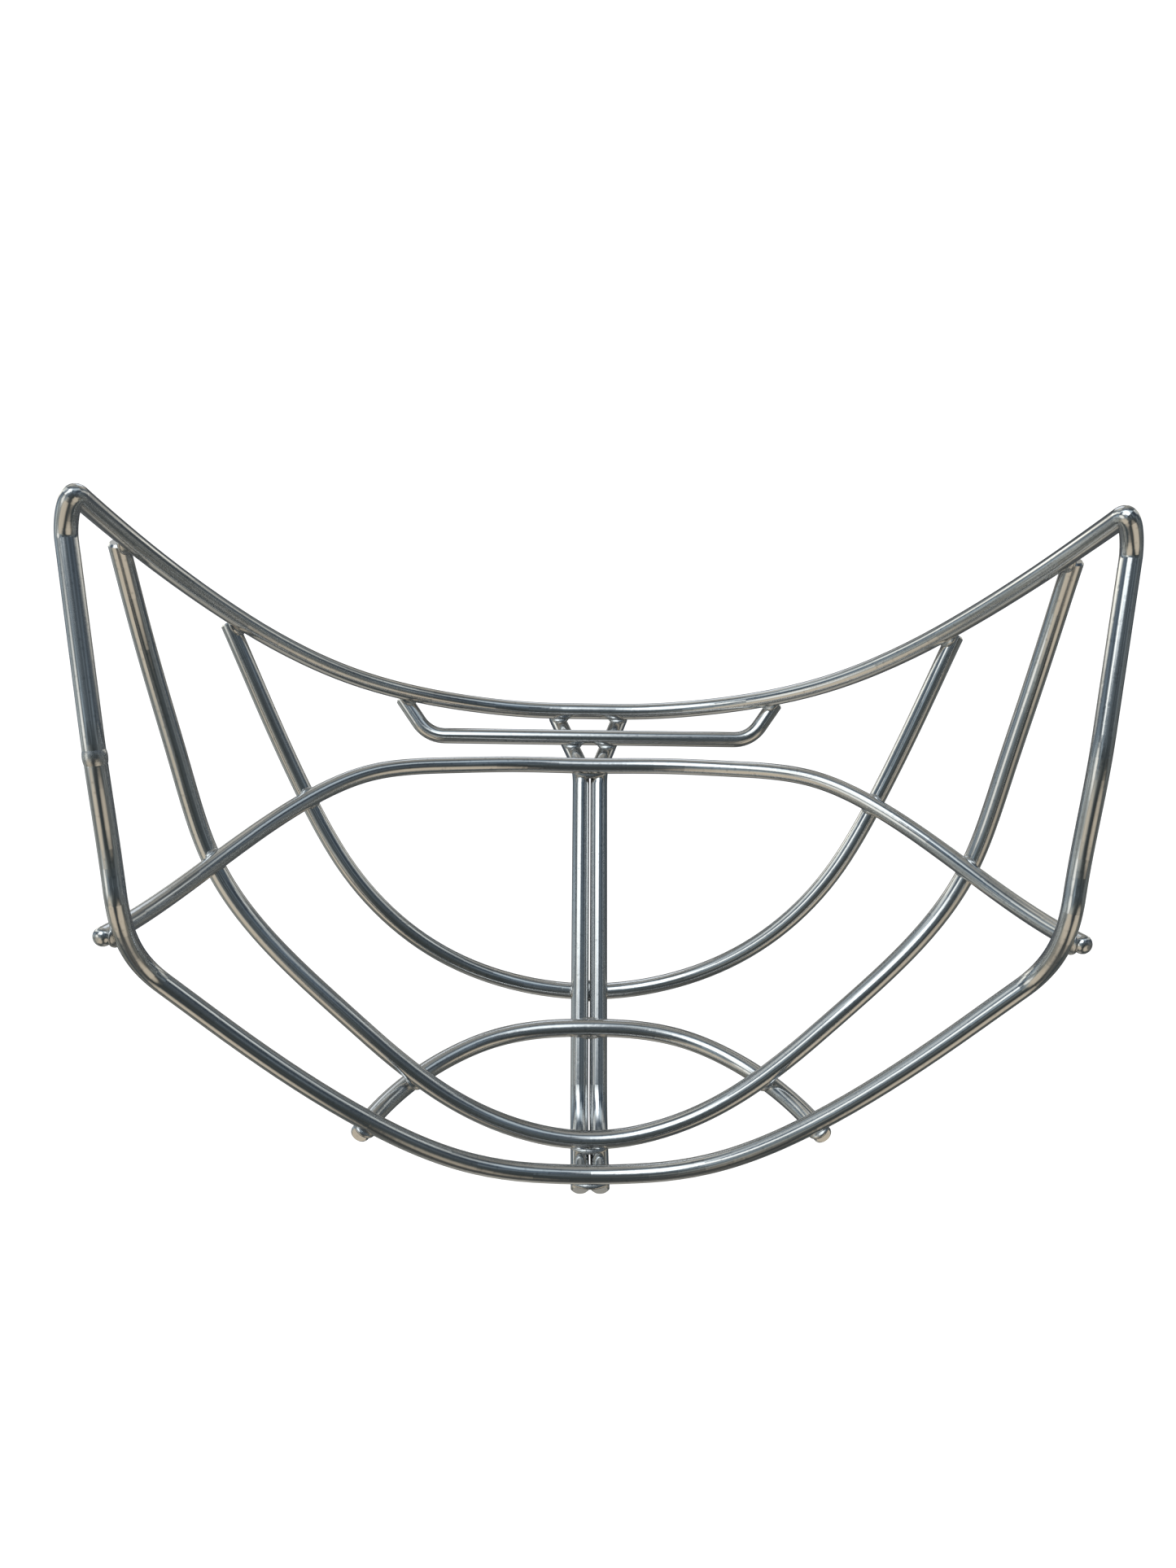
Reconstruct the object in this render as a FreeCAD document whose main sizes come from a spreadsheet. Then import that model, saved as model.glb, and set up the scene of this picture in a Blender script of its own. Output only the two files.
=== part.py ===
"""Wire face cage of an ice-hockey goalkeeper's mask, as worn.

Frame: +Z up, the front of the cage faces -Y, +X across the face. The origin is on the
axis of the rim wire at the middle of the forehead. Millimetres.

Eight bent wires are laid over each other and resistance-welded where they cross, so
each crossing is worked out from the wire below it: the wire above passes through a
seat, one radius plus one radius from the lower wire's axis, less the set-down of the
weld. The saddle that the weld presses into the upper wire is cut by the lower wire.
"""
import FreeCAD
import Part
import Sketcher
import math
import os

V = FreeCAD.Vector

# ---------------------------------------------------------------- driving sizes
# alias, value in mm (or degrees where the alias ends in _angle), what it is
SIZES = [
    ("half_width", 112.0, "middle plane to the axis of the rim at the temple"),
    ("depth", 110.0, "rim axis at the forehead to the temple corner, front to back"),
    ("height", 131.0, "rim axis at the forehead down to the rim axis at the chin"),
    ("front_run", 16.0, "straight stretch of the rim at the middle of the forehead"),
    ("heavy_wire", 4.8, "diameter of the rim, centre bars, outer U and chin arch"),
    ("light_wire", 4.5, "diameter of the brow bar, inner U and forehead bar"),
    ("set_down", 0.35, "how far a weld presses one wire into the next"),
    ("bar_gap", 0.3, "gap between the two centre bars"),
    ("bar_lean", 6.9, "how much further back the centre bars are at the brow than at the chin bend"),
    ("bar_front", 3.3, "centre bar axis at the chin bend, behind the rim's forehead axis"),
    ("bar_fork_drop", 21.6, "forehead down to the point where the centre bars part"),
    ("bar_chin_drop", 116.8, "forehead down to the chin bend of the centre bars"),
    ("bar_fork_spread", 8.8, "middle plane to a fork leg where it meets the rim"),
    ("fork_bend_radius", 12.0, "centre-line radius where a centre bar parts from the other"),
    ("chin_bend_radius", 24.0, "centre-line radius of the centre bars' chin bend"),
    ("fork_overrun", 3.5, "fork leg past the rim"),
    ("bar_overrun", 1.8, "centre bar past the lower rim"),
    ("brow_overrun", 4.6, "brow bar past the side wire"),
    ("inner_overrun", 1.0, "inner U past the upper rim"),
    ("outer_overrun", 0.6, "outer U past the upper rim"),
    ("chin_overrun", 2.0, "chin arch past the lower rim"),
    ("forehead_half_length", 47.0, "middle plane to the bend of the forehead bar"),
    ("forehead_drop", 14.0, "forehead down to where the forehead bar crosses the fork"),
    ("forehead_end_x", 51.8, "middle plane to the forehead bar where it meets the rim"),
    ("forehead_bend_radius", 9.2, "centre-line radius of the forehead bar's bends"),
    ("forehead_overrun", 1.0, "forehead bar past the rim"),
    ("end_chamfer", 0.5, "chamfer on a cut wire end"),
    ("brow_end_round", 1.8, "rounding on the two ends of the brow bar"),
    ("weld_reach", 2.9, "how far a weld fillet spreads from its crossing"),
    ("weld_reach_bars", 5.4, "the same across the two centre bars"),
    ("weld_thickness", 1.15, "half the thickness of a weld fillet"),
    ("butt_drop", 48.0, "forehead down to the butt weld of the rim"),
    ("butt_bead", 2.6, "radius of the butt weld's bead"),
    ("butt_length", 4.0, "half length of the ellipsoid that gives the bead its taper"),
]

# Stations of the bent wires on the wearer's left (+X) half, in percent of half_width
# (across), depth (backward) and height (downward). A wire that crosses the middle plane
# is mirrored there. Seats on other wires are added between them further down.
RIM_TOP = [(31, 4.25, 0), (61, 24.75, 0.5), (82, 51, -1.75), (98.5, 100.75, -2)]
RIM_SIDE = [(101.75, 95.75, 3.5), (96.75, 85.5, 31.5), (94.25, 69.5, 55.5)]
RIM_LOWER = [(88.75, 51.5, 69), (69.5, 40.5, 80.75), (48, 30.5, 91.75), (25, 19.75, 99.25), (0, 15.75, 101)]
BROW = [(18, 13.5, 17), (36, 18, 18.75), (53.5, 25.5, 22.75), (67, 31.75, 30.5)]
INNER_LOW = [(22.5, 4, 61.75), (40, 11.25, 55.75), (58, 21.5, 42)]
INNER_HIGH = [(77, 38.75, 12)]
OUTER_LOW = [(29.5, 15.25, 88), (55.5, 26.25, 71.75)]
OUTER_HIGH = [(90.75, 49, 29), (96.25, 63, 10.5)]
CHIN = [(22.5, 9, 74.75)]

# Where the wires cross, in percent of half_width (across) or of height (downward)
BROW_DROP = 17.5
INNER_DROP = 64.5
CHIN_DROP = 72.25
OUTER_DROP = 96.25
BROW_AT_SIDE = 62.75
BROW_AT_INNER = 65.5
BROW_AT_OUTER = 82.5
OUTER_AT_CHIN = 38.75
INNER_AT_RIM = 80.75
OUTER_AT_RIM = 94.75
CHIN_AT_RIM = 47.75

doc = FreeCAD.newDocument("goalkeeper_cage")
sheet = doc.addObject("Spreadsheet::Sheet", "sizes")
for row, (alias, value, note) in enumerate(SIZES, start=1):
    sheet.set("A%d" % row, alias)
    sheet.set("B%d" % row, str(value))
    sheet.set("C%d" % row, note)
    sheet.setAlias("B%d" % row, alias)
doc.recompute()


def size(alias):
    """The value of one named cell of the sheet."""
    return float(sheet.get(alias))


HEAVY = size("heavy_wire") / 2
LIGHT = size("light_wire") / 2
SET_DOWN = size("set_down")
HALF_WIDTH = size("half_width")
DEPTH = size("depth")
HEIGHT = size("height")
BAR_X = HEAVY + size("bar_gap") / 2
HEAD_CENTRE = V(0, DEPTH * 0.6, -HEIGHT * 0.5)


# ---------------------------------------------------------------- path geometry
def station(percents):
    """A point from percentages of half width, depth and height."""
    across, back, down = percents
    return V(HALF_WIDTH * across / 100, DEPTH * back / 100, -HEIGHT * down / 100)


def mirrored(point):
    return V(-point.x, point.y, point.z)


def both_halves(points):
    """A left-to-right list of points from the +X half, whose first point may be at X = 0."""
    half = points[1:] if abs(points[0].x) < 1e-6 else points
    return [mirrored(p) for p in reversed(half)] + points


def smooth(points):
    """One smooth curve through the points."""
    curve = Part.BSplineCurve()
    curve.interpolate(Points=points)
    return curve


def smooth_from(points, way):
    """One smooth curve through the points that starts in a given direction."""
    flags = [True] + [False] * (len(points) - 1)
    curve = Part.BSplineCurve()
    curve.interpolate(Points=points, Tangents=[way.normalize()] * len(points), TangentFlags=flags)
    return curve


def curve_point(curve, axis, value, low, high):
    """Point and direction where the curve reaches a coordinate, between two parameters."""
    rising = getattr(curve.value(high), axis) > getattr(curve.value(low), axis)
    for _ in range(50):
        middle = (low + high) / 2
        if (getattr(curve.value(middle), axis) < value) == rising:
            low = middle
        else:
            high = middle
    return curve.value(low), V(*curve.tangent(low)[0]).normalize()


def on_right_half(curve, axis, value):
    """Like curve_point, on the +X half of a curve, which may be only that half."""
    first, last = curve.FirstParameter, curve.LastParameter
    middle = (first + last) / 2
    if curve.value(first).x >= 0 and curve.value(last).x >= 0:
        return curve_point(curve, axis, value, first, last)
    if curve.value(first).x > curve.value(last).x:
        return curve_point(curve, axis, value, first, middle)
    return curve_point(curve, axis, value, middle, last)


def seat(point, along, other_way, spacing):
    """The point at a spacing outside (or inside, if negative) a wire axis.

    along is the lower wire's direction at point, other_way the crossing wire's.
    """
    normal = along.cross(other_way).normalize()
    if normal.dot(point - HEAD_CENTRE) < 0:
        normal = -normal
    return point + normal * spacing


def arcs(curve):
    """The curve as tangent arcs, within a hundredth of a millimetre or two."""
    return [piece.toShape() for piece in curve.toBiArcs(0.02)]


def rounded(points, radii):
    """Straight runs through the points, joined by tangent arcs of the given radii."""
    edges = []
    start = points[0]
    for corner, before, after, radius in zip(points[1:-1], points, points[2:], radii):
        back = (before - corner).normalize()
        ahead = (after - corner).normalize()
        half_angle = math.acos(max(-1.0, min(1.0, back.dot(ahead)))) / 2
        tangent = radius / math.tan(half_angle)
        bisector = (back + ahead).normalize()
        centre = corner + bisector * (radius / math.sin(half_angle))
        first, last = corner + back * tangent, corner + ahead * tangent
        edges.append(Part.LineSegment(start, first).toShape())
        edges.append(Part.Arc(first, centre - bisector * radius, last).toShape())
        start = last
    edges.append(Part.LineSegment(start, points[-1]).toShape())
    return edges


def swept(edges, radius):
    """A round wire of the given radius along a chain of edges."""
    path = Part.Wire(edges)
    first = path.OrderedEdges[0]
    start = first.valueAt(first.FirstParameter)
    direction = first.tangentAt(first.FirstParameter)
    if first.Orientation == "Reversed":
        start = first.valueAt(first.LastParameter)
        direction = -first.tangentAt(first.LastParameter)
    section = Part.Wire([Part.Circle(start, direction, radius).toShape()])
    return path.makePipeShell([section], True, False)


def end_edges(solid, radius):
    """The round edges of the flat end faces of a wire."""
    found = []
    for face in solid.Faces:
        if isinstance(face.Surface, Part.Plane) and abs(face.Area - math.pi * radius ** 2) < 0.01:
            found.extend(face.Edges)
    return found


def chamfered(solid, radius):
    return solid.makeChamfer(size("end_chamfer"), end_edges(solid, radius))


def as_feature(label, shape):
    """A document object that holds a computed shape."""
    feature = doc.addObject("Part::Feature", label)
    feature.Shape = shape
    return feature


# ---------------------------------------------------------------- the wires
spacing_heavy = 2 * HEAVY - SET_DOWN
spacing_mixed = HEAVY + LIGHT - SET_DOWN
spacing_light = 2 * LIGHT - SET_DOWN


def unit(curve, at_start):
    """Direction of travel at one end of a curve."""
    where = curve.FirstParameter if at_start else curve.LastParameter
    return V(*curve.tangent(where)[0]).normalize()


def corner_curve(start, start_way, end, end_way):
    """An even bend between two points that leaves and arrives in given directions."""
    chord = (end - start).Length
    turn = math.acos(start_way.dot(end_way))
    handle = chord / (2 * math.sin(turn / 2)) * 4 / 3 * math.tan(turn / 4)
    bezier = Part.BezierCurve()
    bezier.setPoles([start, start + start_way * handle, end - end_way * handle, end])
    return bezier.toBSpline()


def reflected(edges):
    """The edges mirrored in the middle plane."""
    return [edge.mirror(V(0, 0, 0), V(1, 0, 0)) for edge in edges]


# Rim: straight at the forehead and along the upper part of each side, where clips hold it
side_start, side_end = station(RIM_SIDE[0]), station(RIM_SIDE[1])
side_way = (side_end - side_start).normalize()
front_run_end = V(size("front_run") / 2, 0, 0)
rim_top = smooth_from([front_run_end] + [station(s) for s in RIM_TOP], V(1, 0, 0))
rim_side = smooth_from([side_end] + [station(s) for s in RIM_SIDE[2:]], V(side_way))
rim_lower = smooth(list(reversed(both_halves(list(reversed([station(s) for s in RIM_LOWER]))))))
top_corner = corner_curve(rim_top.value(rim_top.LastParameter), unit(rim_top, False), side_start, side_way)
low_corner = corner_curve(rim_side.value(rim_side.LastParameter), unit(rim_side, False),
                          rim_lower.value(rim_lower.FirstParameter), unit(rim_lower, True))
front_run = Part.LineSegment(mirrored(front_run_end), front_run_end).toShape()
side_run = Part.LineSegment(side_start, side_end).toShape()
right_side = arcs(rim_top) + arcs(top_corner) + [side_run] + arcs(rim_side) + arcs(low_corner)
rim_edges = Part.sortEdges([front_run] + right_side + arcs(rim_lower) + reflected(right_side))[0]
rim = swept(rim_edges, HEAVY)

# Centre bars: down the middle, parted at the forehead, bent back under the chin
rim_front, rim_front_way = on_right_half(rim_top, "x", size("bar_fork_spread"))
rim_chin, rim_chin_way = on_right_half(rim_lower, "x", BAR_X)
fork = V(BAR_X, size("bar_front") + size("bar_lean"), -size("bar_fork_drop"))
chin_bend = V(BAR_X, size("bar_front"), -size("bar_chin_drop"))
fork_seat = seat(rim_front, rim_front_way, rim_front - fork, spacing_heavy)
fork_seat = seat(rim_front, rim_front_way, fork_seat - fork, spacing_heavy)
fork_way = (fork_seat - fork).normalize()
fork_end = fork_seat + fork_way * size("fork_overrun")


def chin_way(start, target, clearance):
    """Direction from start, in the plane across the face, that passes target at a clearance."""
    reach = target - start
    reach.x = 0
    angle = math.atan2(reach.z, reach.y) - math.asin(clearance / reach.Length)
    return V(0, math.cos(angle), math.sin(angle))


bar_end_way = chin_way(chin_bend, rim_chin, spacing_heavy)
chin_seat_run = (rim_chin - chin_bend).dot(bar_end_way)
bar_seat = chin_bend + bar_end_way * chin_seat_run
bar_end = bar_seat + bar_end_way * size("bar_overrun")
bar_radii = [size("fork_bend_radius"), size("chin_bend_radius")]
bar_points = [fork_end, fork, chin_bend, bar_end]
bar_path = Part.Wire(rounded(bar_points, bar_radii))


def bar_at(drop):
    """Point on the +X centre bar's axis at a drop, and its direction."""
    for edge in bar_path.Edges:
        ends = sorted([edge.Vertexes[0].Z, edge.Vertexes[-1].Z])
        if ends[0] <= -drop <= ends[1]:
            low, high = edge.FirstParameter, edge.LastParameter
            rising = edge.valueAt(high).z > edge.valueAt(low).z
            for _ in range(50):
                middle = (low + high) / 2
                if (edge.valueAt(middle).z < -drop) == rising:
                    low = middle
                else:
                    high = middle
            return edge.valueAt(low), edge.tangentAt(low)
    raise ValueError("the centre bar does not reach %s" % drop)


def on_bars(drop_percent, spacing):
    """Where a cross wire rests on the two centre bars: a point on the middle plane."""
    point, way = bar_at(HEIGHT * drop_percent / 100)
    rest = seat(point, way, V(1, 0, 0), spacing)
    return V(0, rest.y, rest.z)


def onto(curve, axis, value, crossing_from, spacing):
    """A seat on the +X half of a curve, for a wire that comes from a given point."""
    point, way = on_right_half(curve, axis, value)
    first_guess = seat(point, way, point - crossing_from, spacing)
    return seat(point, way, first_guess - crossing_from, spacing)


def past(before, last, overrun):
    """The end of a wire that runs straight past its last seat."""
    return last + (last - before).normalize() * overrun


def with_tails(curve, overrun):
    """The curve as tangent arcs, with a straight run of the given length past each end."""
    first, last = curve.value(curve.FirstParameter), curve.value(curve.LastParameter)
    head = Part.LineSegment(first - unit(curve, True) * overrun, first)
    tail = Part.LineSegment(last, last + unit(curve, False) * overrun)
    return [head.toShape()] + arcs(curve) + [tail.toShape()]


def across(percent):
    return HALF_WIDTH * percent / 100


# Brow bar: over the centre bars on the face side, its ends outside the side wires
brow_half = [on_bars(BROW_DROP, -spacing_mixed)] + [station(s) for s in BROW]
brow_at, brow_at_way = curve_point(low_corner, "z", -HEIGHT * BROW_AT_SIDE / 100,
                                   low_corner.FirstParameter, low_corner.LastParameter)
brow_half.append(seat(brow_at, brow_at_way, brow_at - brow_half[-1], spacing_mixed))
brow = smooth(both_halves(brow_half))
brow_edges = with_tails(brow, size("brow_overrun"))

# Inner U: outside the centre bars and the brow bar, its ends outside the upper rim
inner_half = [on_bars(INNER_DROP, spacing_mixed)] + [station(s) for s in INNER_LOW]
inner_half.append(onto(brow, "x", across(BROW_AT_INNER), inner_half[-1], spacing_light))
inner_half.extend(station(s) for s in INNER_HIGH)
inner_half.append(onto(rim_top, "x", across(INNER_AT_RIM), inner_half[-1], spacing_mixed))
inner_edges = with_tails(smooth(both_halves(inner_half)), size("inner_overrun"))

# Outer U: on the face side of the centre bars, outside the brow bar and the upper rim
outer_half = [on_bars(OUTER_DROP, -spacing_heavy)] + [station(s) for s in OUTER_LOW]
outer_half.append(onto(brow, "x", across(BROW_AT_OUTER), outer_half[-1], spacing_mixed))
outer_half.extend(station(s) for s in OUTER_HIGH)
outer_half.append(onto(rim_top, "x", across(OUTER_AT_RIM), outer_half[-1], spacing_heavy))
outer = smooth(both_halves(outer_half))
outer_edges = with_tails(outer, size("outer_overrun"))

# Chin arch: on the face side of the centre bars, outside the outer U and the lower rim
chin_half = [on_bars(CHIN_DROP, -spacing_heavy)] + [station(s) for s in CHIN]
chin_half.append(onto(outer, "x", across(OUTER_AT_CHIN), chin_half[-1], spacing_heavy))
chin_half.append(onto(rim_lower, "x", across(CHIN_AT_RIM), chin_half[-1], spacing_heavy))
chin_edges = with_tails(smooth(both_halves(chin_half)), size("chin_overrun"))

# Forehead bar: on the face side of the fork, its ends outside the upper rim
leg_point = fork + fork_way * ((size("bar_fork_drop") - size("forehead_drop")) / fork_way.z)
leg_seat = seat(leg_point, fork_way, V(1, 0, 0), -spacing_mixed)
forehead_bend = V(size("forehead_half_length"), leg_seat.y, leg_seat.z)
forehead_seat = onto(rim_top, "x", size("forehead_end_x"), forehead_bend, spacing_mixed)
forehead_end = past(forehead_bend, forehead_seat, size("forehead_overrun"))
forehead_points = both_halves([forehead_bend, forehead_end])
forehead_radii = [size("forehead_bend_radius")] * 2


# ---------------------------------------------------------------- the wires as solids
def less(label, body, tools):
    """The body with each tool cut from it in turn; the last cut has the label."""
    for number, tool in enumerate(tools, start=1):
        cut = doc.addObject("Part::Cut", label if number == len(tools) else "%s_cut_%d" % (label, number))
        cut.Base = body
        cut.Tool = tool
        cut.Refine = False
        body = cut
    return body


def wire_node(label, shape, under):
    """A finished wire, with the saddles that the welds press into it where it lies on others."""
    if not under:
        return as_feature(label, shape)
    return less(label, as_feature(label + "_drawn", shape), under)


def rounded_ends(solid, radius):
    return solid.makeFillet(size("brow_end_round"), end_edges(solid, radius))


def chamfered_wire(edges, radius):
    return chamfered(swept(edges, radius), radius)


def origin_plane(body, role):
    """One of the body's own origin planes, by its role."""
    return [plane for plane in body.Origin.OriginFeatures if plane.Role == role][0]


def sketch_on(body, role, label):
    sketch = doc.addObject("Sketcher::SketchObject", label)
    body.addObject(sketch)
    sketch.AttachmentSupport = (origin_plane(body, role), [""])
    sketch.MapMode = "FlatFace"
    return sketch


def draw_spine(sketch, leg):
    """Half of the forehead bar's axis: the straight run, the bend and the leg that follows it."""
    turn = math.atan2(leg.y, leg.x)
    radius = size("forehead_bend_radius")
    bend_start = size("forehead_half_length") - radius * math.tan(turn / 2)
    centre = V(bend_start, radius, 0)
    bend = Part.ArcOfCircle(Part.Circle(centre, V(0, 0, 1), radius), -math.pi / 2, turn - math.pi / 2)
    end = V(size("forehead_half_length"), 0, 0) + leg
    run = sketch.addGeometry(Part.LineSegment(V(0, 0, 0), V(bend_start, 0, 0)))
    arc = sketch.addGeometry(bend)
    tail = sketch.addGeometry(Part.LineSegment(bend.EndPoint, end))
    sketch.addConstraint(Sketcher.Constraint("Coincident", run, 1, -1, 1))
    sketch.addConstraint(Sketcher.Constraint("Horizontal", run))
    sketch.addConstraint(Sketcher.Constraint("Tangent", run, 2, arc, 1))
    sketch.addConstraint(Sketcher.Constraint("Tangent", arc, 2, tail, 1))
    bound = sketch.addConstraint(Sketcher.Constraint("Radius", arc, radius))
    sketch.setExpression("Constraints[%d]" % bound, "sizes.forehead_bend_radius")
    sketch.addConstraint(Sketcher.Constraint("DistanceX", -1, 1, tail, 2, end.x))
    sketch.addConstraint(Sketcher.Constraint("DistanceY", -1, 1, tail, 2, end.y))
    sketch.addConstraint(Sketcher.Constraint("Angle", tail, turn))


def forehead_body():
    """The forehead bar lies in one plane: half of it is a pipe, mirrored and chamfered."""
    rise = forehead_end - forehead_bend
    leg = V(rise.x, math.hypot(rise.y, rise.z), 0)
    body = doc.addObject("PartDesign::Body", "forehead_bar_drawn")
    spine = sketch_on(body, "XZ_Plane", "forehead_bar_axis")
    draw_spine(spine, leg)
    section = sketch_on(body, "YZ_Plane", "forehead_bar_section")
    section.addGeometry(Part.Circle(V(0, 0, 0), V(0, 0, 1), LIGHT))
    section.addConstraint(Sketcher.Constraint("Coincident", 0, 3, -1, 1))
    bound = section.addConstraint(Sketcher.Constraint("Radius", 0, LIGHT))
    section.setExpression("Constraints[%d]" % bound, "sizes.light_wire / 2")
    pipe = doc.addObject("PartDesign::AdditivePipe", "forehead_bar_pipe")
    body.addObject(pipe)
    pipe.Profile = section
    pipe.Spine = (spine, [])
    both = doc.addObject("PartDesign::Mirrored", "forehead_bar_both_halves")
    body.addObject(both)
    both.Originals = [pipe]
    both.MirrorPlane = (origin_plane(body, "YZ_Plane"), [""])
    body.Tip = both
    doc.recompute()
    cut_ends = ["Edge%d" % number for number, edge in enumerate(both.Shape.Edges, start=1)
                if abs(edge.CenterOfMass.x) > leg.x + size("forehead_half_length") - 0.01]
    ease = doc.addObject("PartDesign::Chamfer", "forehead_bar_ends")
    body.addObject(ease)
    ease.Base = (both, cut_ends)
    ease.setExpression("Size", "sizes.end_chamfer")
    body.Tip = ease
    tilt = FreeCAD.Rotation(V(0, 0, 1), V(0, rise.y, rise.z))
    body.Placement = FreeCAD.Placement(V(0, forehead_bend.y, forehead_bend.z), tilt)
    return body


MIDDLE_PLANE = (V(0, 0, 0), V(1, 0, 0))
rim_node = wire_node("perimeter_rim", rim, [])
bar_shape = chamfered_wire(rounded(bar_points, bar_radii), HEAVY)
bar_left = wire_node("centre_bar_left", bar_shape, [rim_node])
bar_right = wire_node("centre_bar_right", bar_shape.mirror(*MIDDLE_PLANE), [rim_node])
frame = [rim_node, bar_left, bar_right]
brow_shape = rounded_ends(swept(brow_edges, LIGHT), LIGHT)
brow_node = wire_node("brow_bar", brow_shape, frame)
inner_node = wire_node("inner_u_bar", chamfered_wire(inner_edges, LIGHT), frame + [brow_node])
outer_node = wire_node("outer_u_bar", chamfered_wire(outer_edges, HEAVY), frame + [brow_node])
chin_node = wire_node("chin_arch", chamfered_wire(chin_edges, HEAVY), frame + [outer_node])
forehead_edges = rounded(forehead_points, forehead_radii)
forehead_node = less("forehead_bar", forehead_body(), frame)
wires = frame + [brow_node, inner_node, outer_node, chin_node, forehead_node]


# ---------------------------------------------------------------- the welds
def near(edges, point, within=20):
    """The edges of a path that pass near a point, as one shape."""
    vertex = Part.Vertex(point)
    return Part.Compound([e for e in edges if e.distToShape(vertex)[0] < within])


def crossing(lower_edges, upper_edges, lower_radius, point):
    """The middle of the contact of two wires near a point, and the direction across it."""
    found = near(lower_edges, point).distToShape(near(upper_edges, point))[1][0]
    normal = (found[1] - found[0]).normalize()
    return found[0] + normal * (lower_radius - SET_DOWN / 2), normal


def ellipsoid(label, centre, direction, thickness, reach_x, reach_y):
    """A full ellipsoid whose three half sizes are bound to cells of the sheet."""
    body = doc.addObject("Part::Ellipsoid", label)
    body.Angle1 = -90
    body.Angle2 = 90
    body.Angle3 = 360
    body.setExpression("Radius1", "sizes." + thickness)
    body.setExpression("Radius2", "sizes." + reach_x)
    body.setExpression("Radius3", "sizes." + reach_y)
    body.Placement = FreeCAD.Placement(centre, FreeCAD.Rotation(V(0, 0, 1), direction))
    return body


def pair_weld(label, lower, upper, point, around):
    """The two welds of a crossing that is there left and right, as one node."""
    centre, normal = crossing(lower[0], upper[0], lower[1], point)
    bead = ellipsoid(label + "_bead", centre, normal, "weld_thickness", "weld_reach", "weld_reach")
    left = less(label + "_one", bead, around)
    other = doc.addObject("Part::Mirroring", label + "_other")
    other.Source = left
    other.Normal = V(1, 0, 0)
    node = doc.addObject("Part::Compound", label)
    node.Links = [left, other]
    return node


def bar_weld(label, lower, upper, point, around):
    """The weld of a cross wire to both centre bars, one bead over the two."""
    centre, normal = crossing(lower[0], upper[0], lower[1], point)
    centre.x = 0
    bead = ellipsoid(label + "_bead", centre, V(0, normal.y, normal.z), "weld_thickness",
                     "weld_reach_bars", "weld_reach")
    bead.Placement = FreeCAD.Placement(centre, FreeCAD.Rotation(V(1, 0, 0), V(0, normal.y, normal.z)
                                       .cross(V(1, 0, 0)), V(0, normal.y, normal.z), "ZXY"))
    return less(label, bead, around)


RIM = (rim_edges, HEAVY)
BARS = (bar_path.Edges, HEAVY)
BROW_WIRE = (brow_edges, LIGHT)
INNER_WIRE = (inner_edges, LIGHT)
OUTER_WIRE = (outer_edges, HEAVY)
CHIN_WIRE = (chin_edges, HEAVY)
FOREHEAD_WIRE = (forehead_edges, LIGHT)

welds = [
    pair_weld("weld_fork_to_rim", RIM, BARS, fork_seat, frame),
    pair_weld("weld_forehead_bar_to_rim", RIM, FOREHEAD_WIRE, forehead_seat, [rim_node, forehead_node]),
    pair_weld("weld_forehead_bar_to_fork", BARS, FOREHEAD_WIRE, leg_seat, frame + [forehead_node]),
    pair_weld("weld_brow_bar_to_side", RIM, BROW_WIRE, brow_half[-1], [rim_node, brow_node]),
    pair_weld("weld_inner_u_to_rim", RIM, INNER_WIRE, inner_half[-1], [rim_node, inner_node]),
    pair_weld("weld_outer_u_to_rim", RIM, OUTER_WIRE, outer_half[-1], [rim_node, outer_node]),
    pair_weld("weld_chin_arch_to_rim", RIM, CHIN_WIRE, chin_half[-1], [rim_node, chin_node]),
    pair_weld("weld_inner_u_to_brow_bar", BROW_WIRE, INNER_WIRE, inner_half[4], [brow_node, inner_node]),
    pair_weld("weld_outer_u_to_brow_bar", BROW_WIRE, OUTER_WIRE, outer_half[3], [brow_node, outer_node]),
    pair_weld("weld_chin_arch_to_outer_u", OUTER_WIRE, CHIN_WIRE, chin_half[2], [outer_node, chin_node]),
    bar_weld("weld_bars_to_rim", RIM, BARS, bar_seat, frame),
    bar_weld("weld_bars_to_brow_bar", BARS, BROW_WIRE, brow_half[0], frame + [brow_node]),
    bar_weld("weld_bars_to_inner_u", BARS, INNER_WIRE, inner_half[0], frame + [inner_node]),
    bar_weld("weld_bars_to_outer_u", BARS, OUTER_WIRE, outer_half[0], frame + [outer_node]),
    bar_weld("weld_bars_to_chin_arch", BARS, CHIN_WIRE, chin_half[0], frame + [chin_node]),
]
butt_point, butt_way = curve_point(rim_side, "z", -size("butt_drop"), rim_side.FirstParameter,
                                   rim_side.LastParameter)
butt_bead = ellipsoid("rim_butt_weld_bead", butt_point, butt_way, "butt_length", "butt_bead", "butt_bead")
welds.append(less("rim_butt_weld", butt_bead, [rim_node]))


# ---------------------------------------------------------------- checks and export
doc.recompute()
for thing in doc.Objects:
    if "Invalid" in thing.State or "Error" in thing.State:
        raise RuntimeError("%s did not recompute: %s" % (thing.Label, thing.State))
os.makedirs("parts", exist_ok=True)
for node in wires + welds:
    if node.Shape.isNull() or not node.Shape.isValid():
        raise RuntimeError(node.Label + " is not a valid solid")
    if node in wires and len(node.Shape.Solids) != 1:
        raise RuntimeError(node.Label + " is cut apart")
    node.Shape.exportStep("parts/%s.step" % node.Label)
    print("%-28s %d solid(s) %9.2f mm3" % (node.Label, len(node.Shape.Solids), node.Shape.Volume))
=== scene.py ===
"""Wire face cage of a goalkeeper's mask: materials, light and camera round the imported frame.

Metres, the frame's own axes: +Z up, the front of the cage faces -Y, +X across the face.
The camera looks from the wearer's side, slightly upward.
"""
import math
import bpy
from mathutils import Matrix, Vector


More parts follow.
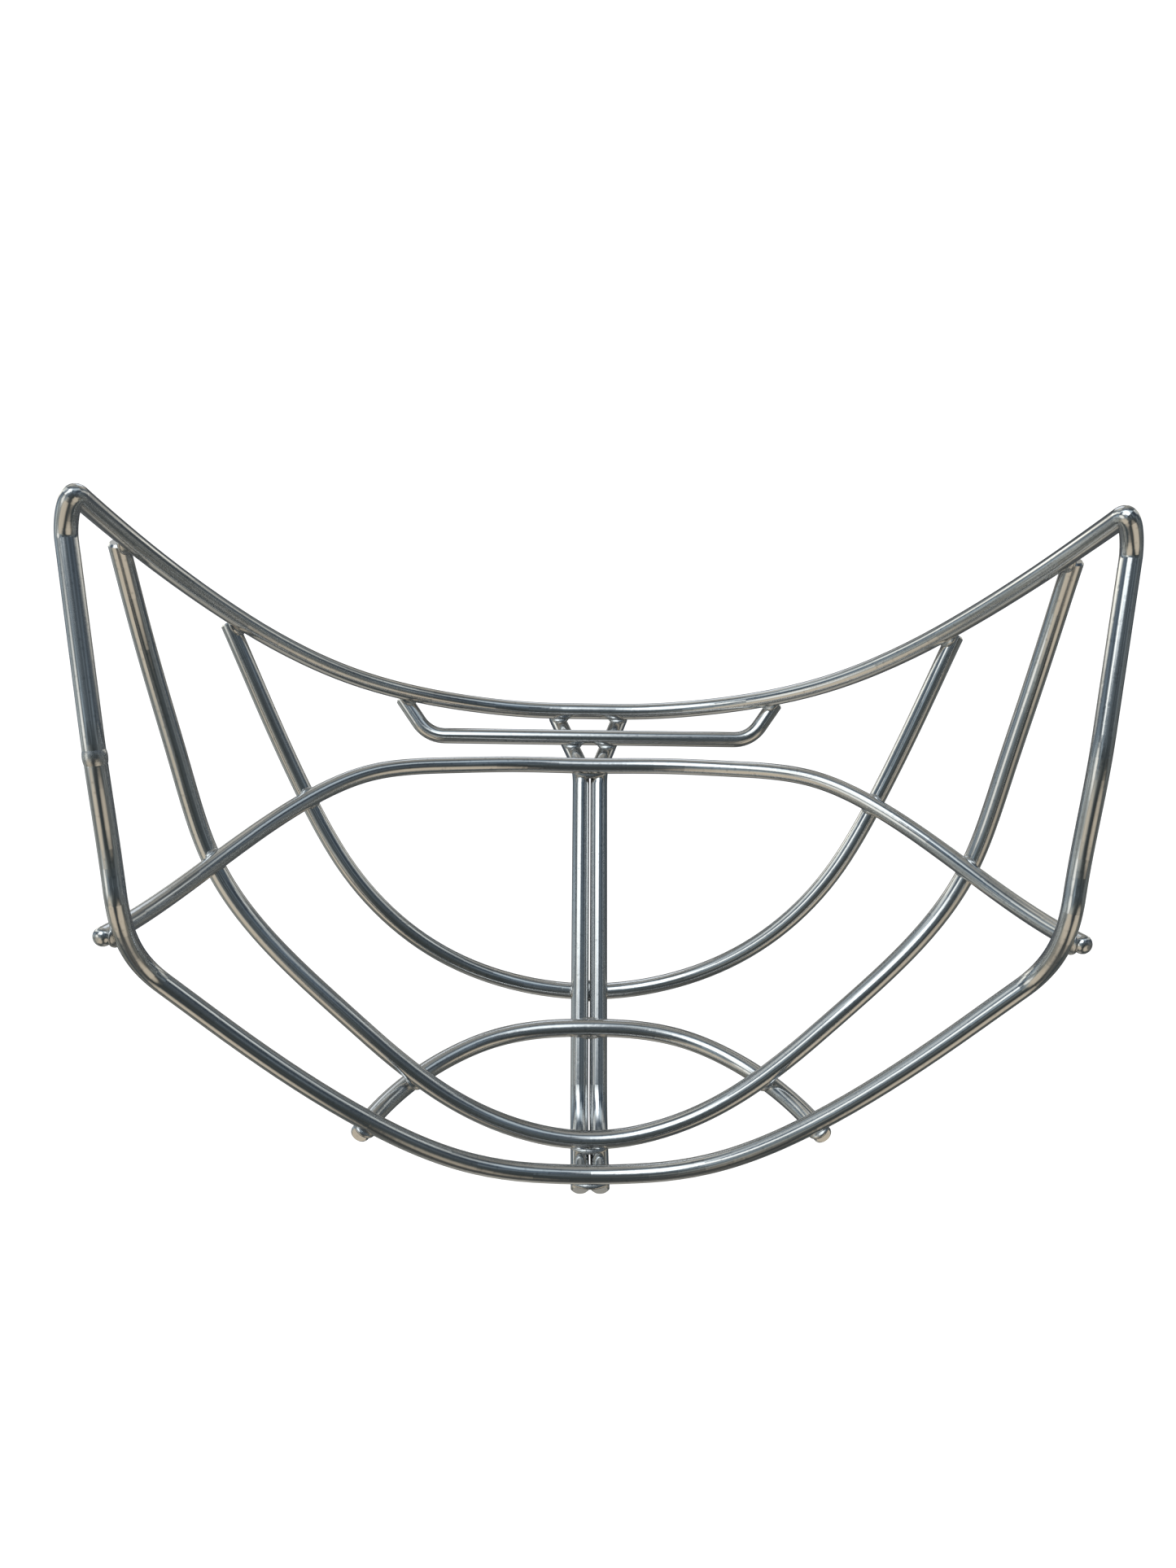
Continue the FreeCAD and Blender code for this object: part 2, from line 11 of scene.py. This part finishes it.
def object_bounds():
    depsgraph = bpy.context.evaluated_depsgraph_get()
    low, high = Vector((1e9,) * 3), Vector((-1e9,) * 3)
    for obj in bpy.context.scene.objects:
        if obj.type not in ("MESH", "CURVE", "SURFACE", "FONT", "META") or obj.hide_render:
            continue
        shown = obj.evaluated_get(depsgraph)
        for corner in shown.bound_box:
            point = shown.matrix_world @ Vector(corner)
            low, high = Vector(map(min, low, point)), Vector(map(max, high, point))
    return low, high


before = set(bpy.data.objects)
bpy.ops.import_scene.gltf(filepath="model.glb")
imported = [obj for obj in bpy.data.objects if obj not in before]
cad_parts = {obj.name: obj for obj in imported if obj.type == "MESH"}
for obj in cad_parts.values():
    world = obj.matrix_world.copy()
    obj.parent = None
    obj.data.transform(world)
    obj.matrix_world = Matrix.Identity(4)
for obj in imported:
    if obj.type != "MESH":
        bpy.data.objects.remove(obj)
cad_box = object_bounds()

WIRES = ["perimeter_rim", "centre_bar_left", "centre_bar_right", "brow_bar", "inner_u_bar",
         "outer_u_bar", "chin_arch", "forehead_bar"]
FULL_PITTING = 1.0
WORN_PITTING = 0.45
WORN_SMOOTH = {"centre_bar_left", "centre_bar_right", "outer_u_bar"}


# ---------------------------------------------------------------- small helpers for node trees
class Tree:
    """Adds nodes to a material's or world's tree and links their sockets by name."""

    def __init__(self, owner):
        owner.use_nodes = True
        self.nodes = owner.node_tree.nodes
        self.links = owner.node_tree.links
        self.nodes.clear()

    def add(self, kind, settings=None, **inputs):
        node = self.nodes.new(kind)
        for key, value in (settings or {}).items():
            setattr(node, key, value)
        for key, value in inputs.items():
            socket = node.inputs[key.replace("_", " ")]
            if isinstance(value, bpy.types.NodeSocket):
                self.links.new(value, socket)
            else:
                socket.default_value = value
        return node

    def math(self, operation, first, second=0.0, third=0.0, clamp=False):
        node = self.nodes.new("ShaderNodeMath")
        node.operation = operation
        node.use_clamp = clamp
        for socket, value in zip(node.inputs, (first, second, third)):
            if isinstance(value, bpy.types.NodeSocket):
                self.links.new(value, socket)
            else:
                socket.default_value = value
        return node.outputs[0]

    def ramp(self, value, stops, smooth="LINEAR"):
        node = self.nodes.new("ShaderNodeValToRGB")
        node.color_ramp.interpolation = smooth
        elements = node.color_ramp.elements
        while len(elements) > 1:
            elements.remove(elements[-1])
        elements[0].position, elements[0].color = stops[0][0], rgba(stops[0][1])
        for position, colour in stops[1:]:
            elements.new(position).color = rgba(colour)
        self.links.new(value, node.inputs[0])
        return node.outputs[0]

    def mix(self, factor, first, second, blend="MIX"):
        node = self.nodes.new("ShaderNodeMix")
        node.data_type = "RGBA"
        node.blend_type = blend
        for index, value in ((0, factor), (6, first), (7, second)):
            if isinstance(value, bpy.types.NodeSocket):
                self.links.new(value, node.inputs[index])
            elif index:
                node.inputs[index].default_value = rgba(value)
            else:
                node.inputs[index].default_value = value
        return node.outputs[2]


def rgba(colour):
    if isinstance(colour, (int, float)):
        return (colour, colour, colour, 1.0)
    return (*colour, 1.0)


# ---------------------------------------------------------------- materials
def plated_steel(name, pitting, seed, tint=(0.76, 0.765, 0.765), roughness=0.10):
    """Bright plating over drawn wire: faint clouds, fine pits, and duller patches of wear."""
    material = bpy.data.materials.new(name)
    tree = Tree(material)
    place = tree.add("ShaderNodeTexCoord").outputs["Object"]
    shifted = tree.add("ShaderNodeVectorMath", {"operation": "ADD"}).outputs[0]
    tree.links.new(place, shifted.node.inputs[0])
    shifted.node.inputs[1].default_value = (0.37 * seed, 0.11 * seed, 0.23 * seed)

    clouds = tree.add("ShaderNodeTexNoise", Vector=shifted, Scale=55.0, Detail=4.0, Roughness=0.6).outputs[0]
    stain = tree.add("ShaderNodeTexNoise", Vector=shifted, Scale=16.0, Detail=3.0, Roughness=0.55).outputs[0]
    grain = tree.add("ShaderNodeTexNoise", Vector=shifted, Scale=900.0, Detail=3.0,
                     Roughness=0.65).outputs[0]
    pits = tree.add("ShaderNodeTexVoronoi", {"feature": "F1"}, Vector=shifted, Scale=620.0,
                    Randomness=1.0).outputs["Distance"]
    ripple = tree.add("ShaderNodeTexNoise", Vector=shifted, Scale=210.0, Detail=2.0,
                      Roughness=0.5).outputs[0]

    pit_here = tree.ramp(pits, [(0.0, 0.0), (0.22, 0.35), (0.42, 1.0)])
    patch = tree.ramp(clouds, [(0.40, 0.0), (0.62, 1.0)])
    pit_depth = tree.mix(patch, 1.0, pit_here)

    cool = tree.mix(tree.ramp(stain, [(0.35, 0.0), (0.68, 1.0)]), tint, tuple(0.90 * c for c in tint))
    warm = tree.mix(tree.ramp(clouds, [(0.52, 0.0), (0.80, 0.55)]), cool, (0.66, 0.63, 0.585))
    colour = tree.mix(tree.ramp(pits, [(0.0, 0.55), (0.30, 0.0)]), warm, (0.42, 0.43, 0.44))

    dull = tree.ramp(stain, [(0.30, roughness), (0.72, roughness + 0.07)])
    fine = tree.math("MULTIPLY", grain, 0.06)
    rough = tree.math("ADD", tree.math("ADD", dull, fine), -0.02, clamp=True)

    low = tree.add("ShaderNodeBump", Strength=0.05, Distance=0.0005, Height=ripple).outputs[0]
    middle = tree.add("ShaderNodeBump", Strength=0.10 * pitting, Distance=0.00008, Height=pit_depth,
                      Normal=low).outputs[0]
    high = tree.add("ShaderNodeBump", Strength=0.02 + 0.03 * pitting, Distance=0.00003, Height=grain,
                    Normal=middle).outputs[0]
    shader = tree.add("ShaderNodeBsdfPrincipled", Metallic=1.0, Base_Color=colour, Roughness=rough,
                      Normal=high)
    tree.add("ShaderNodeOutputMaterial", Surface=shader.outputs[0])
    return material


def weld_metal(name):
    """A plated resistance weld: the same plating, lumpier and a little duller than the wire."""
    material = bpy.data.materials.new(name)
    tree = Tree(material)
    place = tree.add("ShaderNodeTexCoord").outputs["Object"]
    lumps = tree.add("ShaderNodeTexNoise", Vector=place, Scale=380.0, Detail=4.0, Roughness=0.6).outputs[0]
    grain = tree.add("ShaderNodeTexNoise", Vector=place, Scale=1500.0, Detail=2.0, Roughness=0.6).outputs[0]
    colour = tree.ramp(lumps, [
        (0.30, (0.50, 0.50, 0.50)), (0.55, (0.70, 0.71, 0.71)), (0.75, (0.66, 0.64, 0.60))])
    rough = tree.ramp(grain, [(0.30, 0.18), (0.70, 0.32)])
    low = tree.add("ShaderNodeBump", Strength=0.25, Distance=0.0003, Height=lumps).outputs[0]
    high = tree.add("ShaderNodeBump", Strength=0.25, Distance=0.0001, Height=grain, Normal=low).outputs[0]
    shader = tree.add("ShaderNodeBsdfPrincipled", Metallic=1.0, Base_Color=colour, Roughness=rough,
                      Normal=high)
    tree.add("ShaderNodeOutputMaterial", Surface=shader.outputs[0])
    return material


def dress(node, material):
    """Gives every material slot of a CAD node's object one material."""
    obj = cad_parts[node]
    if not obj.material_slots:
        obj.data.materials.append(material)
    for material_slot in obj.material_slots:
        material_slot.material = material


weld_material = weld_metal("plated_weld")
for number, node in enumerate(WIRES):
    pitting = WORN_PITTING if node in WORN_SMOOTH else FULL_PITTING
    dress(node, plated_steel("plated_" + node, pitting, number + 1))
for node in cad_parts:
    if node not in WIRES:
        dress(node, weld_material)


# ---------------------------------------------------------------- floor, light and surroundings
FLOOR_BELOW = 0.065
FLOOR_REACH = 6.0
WHITE_TO_EYE = 1.15
WHITE_TO_FLOOR = 1.25

low_corner, high_corner = (Vector(corner) for corner in cad_box)
centre = (low_corner + high_corner) / 2


def make_floor():
    mesh = bpy.data.meshes.new("floor")
    reach = FLOOR_REACH
    height = low_corner.z - FLOOR_BELOW
    mesh.from_pydata([(-reach, -reach, height), (reach, -reach, height), (reach, reach, height),
                      (-reach, reach, height)], [], [(0, 1, 2, 3)])
    floor = bpy.data.objects.new("floor", mesh)
    bpy.context.scene.collection.objects.link(floor)
    material = bpy.data.materials.new("pale_floor")
    tree = Tree(material)
    place = tree.add("ShaderNodeTexCoord").outputs["Object"]
    speck = tree.add("ShaderNodeTexNoise", Vector=place, Scale=40.0, Detail=3.0).outputs[0]
    colour = tree.ramp(speck, [(0.3, (0.93, 0.93, 0.925)), (0.7, (0.96, 0.96, 0.955))])
    shader = tree.add("ShaderNodeBsdfPrincipled", Base_Color=colour, Roughness=0.95)
    tree.add("ShaderNodeOutputMaterial", Surface=shader.outputs[0])
    mesh.materials.append(material)
    floor.visible_glossy = False


def direction_glow(tree, direction, towards, inner, outer):
    """1 inside a cone of directions, falling to 0 at its outer edge (angles in degrees)."""
    dot = tree.add("ShaderNodeVectorMath", {"operation": "DOT_PRODUCT"})
    tree.links.new(direction, dot.inputs[0])
    dot.inputs[1].default_value = Vector(towards).normalized()
    node = tree.nodes.new("ShaderNodeMapRange")
    node.interpolation_type = "SMOOTHSTEP"
    tree.links.new(dot.outputs["Value"], node.inputs["Value"])
    node.inputs["From Min"].default_value = math.cos(math.radians(outer))
    node.inputs["From Max"].default_value = math.cos(math.radians(inner))
    return node.outputs[0]


# What the metal mirrors besides the room: direction, inner and outer edge in degrees, share, colour
MIRRORED_LIGHTS = [
    ((0.00, -1.00, 0.15), 30, 62, 0.80, (0.055, 0.062, 0.072)),
    ((-0.30, 0.55, -0.80), 20, 45, 0.75, (0.030, 0.038, 0.040)),
    ((0.28, 0.91, 0.31), 13, 24, 1.0, (1.75, 1.88, 1.95)),
    ((0.62, 0.76, 0.10), 5, 12, 0.9, (1.45, 1.50, 1.48)),
    ((0.86, 0.44, -0.26), 7, 17, 0.8, (1.25, 1.25, 1.18)),
    ((-0.35, 0.80, 0.50), 6, 16, 0.7, (0.55, 0.66, 0.74)),
    ((0.10, -0.29, 0.95), 8, 20, 0.9, (0.95, 1.02, 1.10)),
    ((0.11, -0.63, -0.77), 6, 26, 0.6, (0.62, 0.60, 0.54)),
    ((0.52, -0.48, -0.70), 10, 32, 0.75, (0.045, 0.062, 0.070)),
    ((-0.52, -0.48, -0.70), 10, 32, 0.75, (0.045, 0.062, 0.070)),
    ((0.55, 0.24, -0.80), 10, 30, 0.85, (0.72, 0.63, 0.50)),
    ((-0.55, 0.24, -0.80), 10, 30, 0.85, (0.72, 0.63, 0.50)),
]


def studio_world():
    """White to the eye and on the floor; what the metal mirrors is a room with one large window."""
    world = bpy.data.worlds.new("studio")
    bpy.context.scene.world = world
    tree = Tree(world)
    direction = tree.add("ShaderNodeTexCoord").outputs["Generated"]
    parts = tree.add("ShaderNodeSeparateXYZ", Vector=direction)
    cool_back = tree.ramp(tree.math("MULTIPLY_ADD", parts.outputs["Y"], 0.5, third=0.5), [
        (0.2, (0.330, 0.305, 0.262)), (0.55, (0.262, 0.258, 0.236)), (0.9, (0.160, 0.176, 0.184))])
    side = tree.ramp(tree.math("MULTIPLY_ADD", parts.outputs["X"], 0.5, third=0.5), [
        (0.15, 0.62), (0.50, 0.95), (0.85, 1.45)])
    level = tree.ramp(tree.math("MULTIPLY_ADD", parts.outputs["Z"], 0.5, third=0.5), [
        (0.02, (0.40, 0.42, 0.44)), (0.120, (0.50, 0.54, 0.58)), (0.178, (1.50, 1.45, 1.32)),
        (0.212, (1.40, 1.38, 1.28)), (0.275, (0.62, 0.68, 0.72)), (0.40, (0.82, 0.92, 1.0)),
        (0.50, (0.82, 0.94, 1.06)), (0.60, (0.44, 0.58, 0.76)), (0.690, (0.34, 0.46, 0.64)),
        (0.742, (3.70, 3.90, 4.10)), (0.798, (3.70, 3.90, 4.10)), (0.850, (0.42, 0.54, 0.72)),
        (0.90, (0.70, 0.80, 0.90)), (0.95, 1.6)])
    room = tree.mix(1.0, tree.mix(1.0, cool_back, side, "MULTIPLY"), level, "MULTIPLY")
    things = tree.add("ShaderNodeTexNoise", Vector=direction, Scale=3.1, Detail=5.0,
                      Roughness=0.6).outputs[0]
    clutter = tree.ramp(things, [(0.34, 0.42), (0.45, 0.72), (0.54, 1.05), (0.62, 1.6), (0.70, 2.4)])
    room = tree.mix(1.0, room, clutter, "MULTIPLY")
    for towards, inner, outer, amount, colour in MIRRORED_LIGHTS:
        glow = direction_glow(tree, direction, towards, inner, outer)
        room = tree.mix(tree.math("MULTIPLY", glow, amount), room, colour)

    path = tree.add("ShaderNodeLightPath")
    seen = tree.add("ShaderNodeBackground", Color=rgba(1.0), Strength=WHITE_TO_EYE)
    soft = tree.add("ShaderNodeBackground", Color=rgba((1.0, 1.0, 0.99)), Strength=WHITE_TO_FLOOR)
    mirrored = tree.add("ShaderNodeBackground", Color=room, Strength=1.0)
    to_gloss = tree.add("ShaderNodeMixShader")
    tree.links.new(path.outputs["Is Glossy Ray"], to_gloss.inputs[0])
    tree.links.new(soft.outputs[0], to_gloss.inputs[1])
    tree.links.new(mirrored.outputs[0], to_gloss.inputs[2])
    to_eye = tree.add("ShaderNodeMixShader")
    tree.links.new(path.outputs["Is Camera Ray"], to_eye.inputs[0])
    tree.links.new(to_gloss.outputs[0], to_eye.inputs[1])
    tree.links.new(seen.outputs[0], to_eye.inputs[2])
    output = tree.nodes.new("ShaderNodeOutputWorld")
    tree.links.new(to_eye.outputs[0], output.inputs["Surface"])


def soft_light(name, place, size, power, colour):
    data = bpy.data.lights.new(name, "AREA")
    data.shape = "RECTANGLE"
    data.size, data.size_y = size
    data.energy = power
    data.color = colour
    light = bpy.data.objects.new(name, data)
    light.location = centre + Vector(place)
    light.visible_glossy = False
    light.rotation_euler = (-Vector(place)).to_track_quat("-Z", "Y").to_euler()
    bpy.context.scene.collection.objects.link(light)


make_floor()
studio_world()
soft_light("strip_above_left", (0.55, 0.75, 0.75), (0.10, 0.55), 3.0, (1.0, 1.0, 1.0))
soft_light("strip_above_right", (-0.8, 0.45, 0.6), (0.06, 0.5), 1.2, (0.92, 0.96, 1.0))


# ---------------------------------------------------------------- camera
FOCAL_PER_HEIGHT = 1420 / 1927
SENSOR = 36.0
CAMERA_FROM_ORIGIN = Vector((0.0117, 0.3250, -0.1284))
TURN = (0.3132, -0.0353, -0.0071)


def make_camera():
    """Behind the cage, about 0.32 m from its front, looking forward and 18 degrees up."""
    data = bpy.data.cameras.new("camera")
    data.sensor_fit = "VERTICAL"
    data.sensor_height = SENSOR
    data.lens = SENSOR * FOCAL_PER_HEIGHT
    data.clip_start = 0.01
    camera = bpy.data.objects.new("camera", data)
    axis = Vector(TURN)
    turn = Matrix.Rotation(axis.length, 3, axis.normalized())
    level = Matrix(((-1, 0, 0), (0, 0, 1), (0, -1, 0)))
    view_rows = turn @ level
    right, up, forward = view_rows[0], view_rows[1], view_rows[2]
    camera.matrix_world = Matrix((
        (right.x, up.x, -forward.x, CAMERA_FROM_ORIGIN.x),
        (right.y, up.y, -forward.y, CAMERA_FROM_ORIGIN.y),
        (right.z, up.z, -forward.z, CAMERA_FROM_ORIGIN.z),
        (0, 0, 0, 1)))
    bpy.context.scene.collection.objects.link(camera)
    bpy.context.scene.camera = camera


make_camera()
bpy.context.scene.view_settings.view_transform = "Standard"
